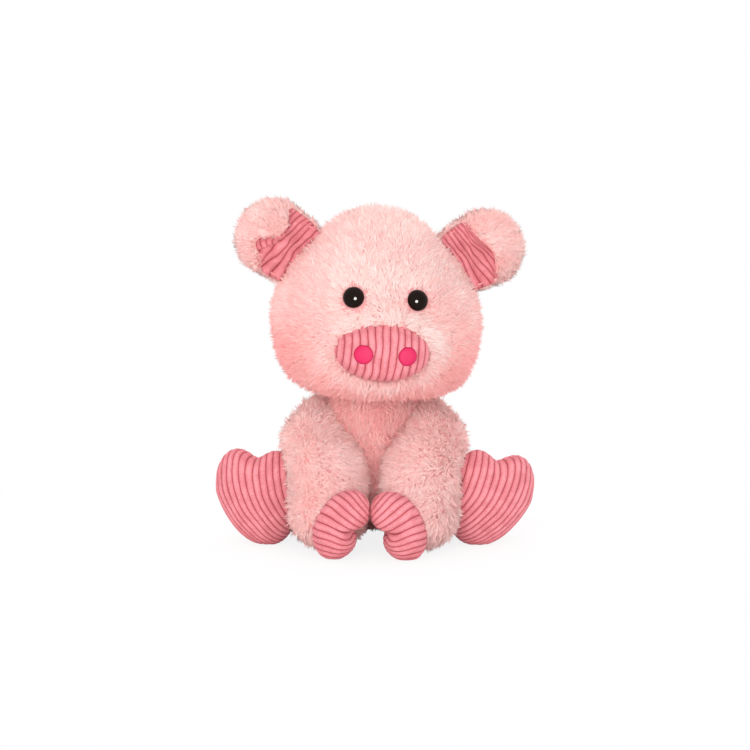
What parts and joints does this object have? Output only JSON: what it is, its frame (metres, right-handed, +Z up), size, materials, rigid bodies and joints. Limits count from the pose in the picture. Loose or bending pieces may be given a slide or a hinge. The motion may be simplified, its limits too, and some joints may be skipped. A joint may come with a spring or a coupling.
{
  "type": "plush pig",
  "caption": "Seated stuffed toy pig of curly pink plush, with corduroy snout, ear linings and two-toed hooves, satin nostrils and glossy eyes; head, ears, arms, legs and tail move.",
  "frame": {"origin": "centre of the flat underside of the seat, on the surface that the pig sits on", "axes": "+Z up, the pig looks along -Y, +X to its own left"},
  "size_m": [0.2336, 0.1615, 0.2482],
  "materials": {
    "plush": "curly short-pile plush, matte",
    "corduroy": "wide-wale corduroy",
    "satin": "satin stitch, soft sheen",
    "eye_plastic": "glossy black",
    "washer_plastic": "moulded, matte",
    "filling": "loose polyester fibre"
  },
  "bodies": {
    "torso": {"torso_skin": "plush", "torso_stuffing": "filling"},
    "head": {"head_skin": "plush", "head_stuffing": "filling", "snout_cover": "corduroy", "snout_stuffing": "filling", "nostril_left": "satin", "nostril_right": "satin", "eye_left": "eye_plastic", "eye_right": "eye_plastic", "eye_washer_left": "washer_plastic", "eye_washer_right": "washer_plastic"},
    "ear_left": {"ear_back_left": "plush", "ear_lining_left": "corduroy"},
    "ear_right": {"ear_back_right": "plush", "ear_lining_right": "corduroy"},
    "arm_left": {"arm_skin_left": "plush", "arm_stuffing_left": "filling", "hand_cover_left": "corduroy"},
    "arm_right": {"arm_skin_right": "plush", "arm_stuffing_right": "filling", "hand_cover_right": "corduroy"},
    "leg_left": {"leg_skin_left": "plush", "leg_stuffing_left": "filling", "foot_cover_left": "corduroy"},
    "leg_right": {"leg_skin_right": "plush", "leg_stuffing_right": "filling", "foot_cover_right": "corduroy"},
    "tail": {"tail": "plush"}
  },
  "joints": [
    {"name": "head_turn", "type": "hinge", "parent": "torso", "child": "head", "pos_m": [0, -0.01417, 0.112], "axis": [0, 0, 1], "range_deg": [-25, 25], "stiffness_Nm_per_rad": 0.03},
    {"name": "arm_left_lift", "type": "hinge", "parent": "torso", "child": "arm_left", "pos_m": [0.038, -0.014, 0.09], "axis": [-1, 0, 0], "range_deg": [0, 25], "stiffness_Nm_per_rad": 0.02},
    {"name": "arm_right_lift", "type": "hinge", "parent": "torso", "child": "arm_right", "pos_m": [-0.038, -0.014, 0.09], "axis": [-1, 0, 0], "range_deg": [0, 25], "stiffness_Nm_per_rad": 0.02},
    {"name": "leg_left_spread", "type": "hinge", "parent": "torso", "child": "leg_left", "pos_m": [0.034, 0.004, 0.029], "axis": [0, 0, 1], "range_deg": [0, 25], "stiffness_Nm_per_rad": 0.02},
    {"name": "leg_right_spread", "type": "hinge", "parent": "torso", "child": "leg_right", "pos_m": [-0.034, 0.004, 0.029], "axis": [0, 0, -1], "range_deg": [0, 25], "stiffness_Nm_per_rad": 0.02},
    {"name": "ear_left_flop", "type": "hinge", "parent": "head", "child": "ear_left", "pos_m": [0.05702, -0.00852, 0.20276], "axis": [0.4923, 0.0561, -0.8686], "range_deg": [-20, 20], "stiffness_Nm_per_rad": 0.02},
    {"name": "ear_right_flop", "type": "hinge", "parent": "head", "child": "ear_right", "pos_m": [-0.05209, -0.02095, 0.20909], "axis": [0.5882, 0.067, 0.8059], "range_deg": [-20, 20], "stiffness_Nm_per_rad": 0.02},
    {"name": "tail_wag", "type": "hinge", "parent": "torso", "child": "tail", "pos_m": [0, 0.036, 0.03], "axis": [0, 0, 1], "range_deg": [-20, 20], "stiffness_Nm_per_rad": 0.01}
  ]
}
